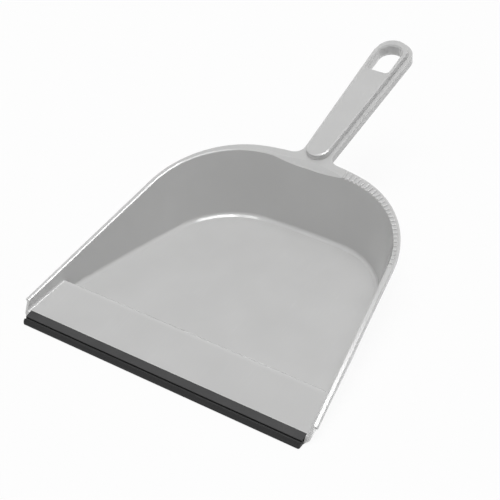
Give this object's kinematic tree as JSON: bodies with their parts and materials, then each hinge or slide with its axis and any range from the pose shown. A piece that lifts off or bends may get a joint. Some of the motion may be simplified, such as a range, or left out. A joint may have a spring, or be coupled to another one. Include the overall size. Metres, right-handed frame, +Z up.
{
  "type": "dustpan",
  "caption": "Hand dustpan: a moulded tray with sloping side walls, a ramp behind a rubber sweeping lip, a comb on the rear rim and a flat raised-grip handle with a hang hole.",
  "frame": {"origin": "centre of the object's box on the floor that the pan lies on", "axes": "+X across the pan, towards the side with the comb, +Y from the lip to the end of the handle, +Z up from the floor"},
  "size_m": [0.2298, 0.336, 0.1002],
  "materials": {
    "pan": "satin moulded",
    "rubber_lip": "extruded, matt"
  },
  "bodies": {
    "root": {"pan": "pan", "rubber_lip": "rubber_lip"}
  },
  "joints": []
}
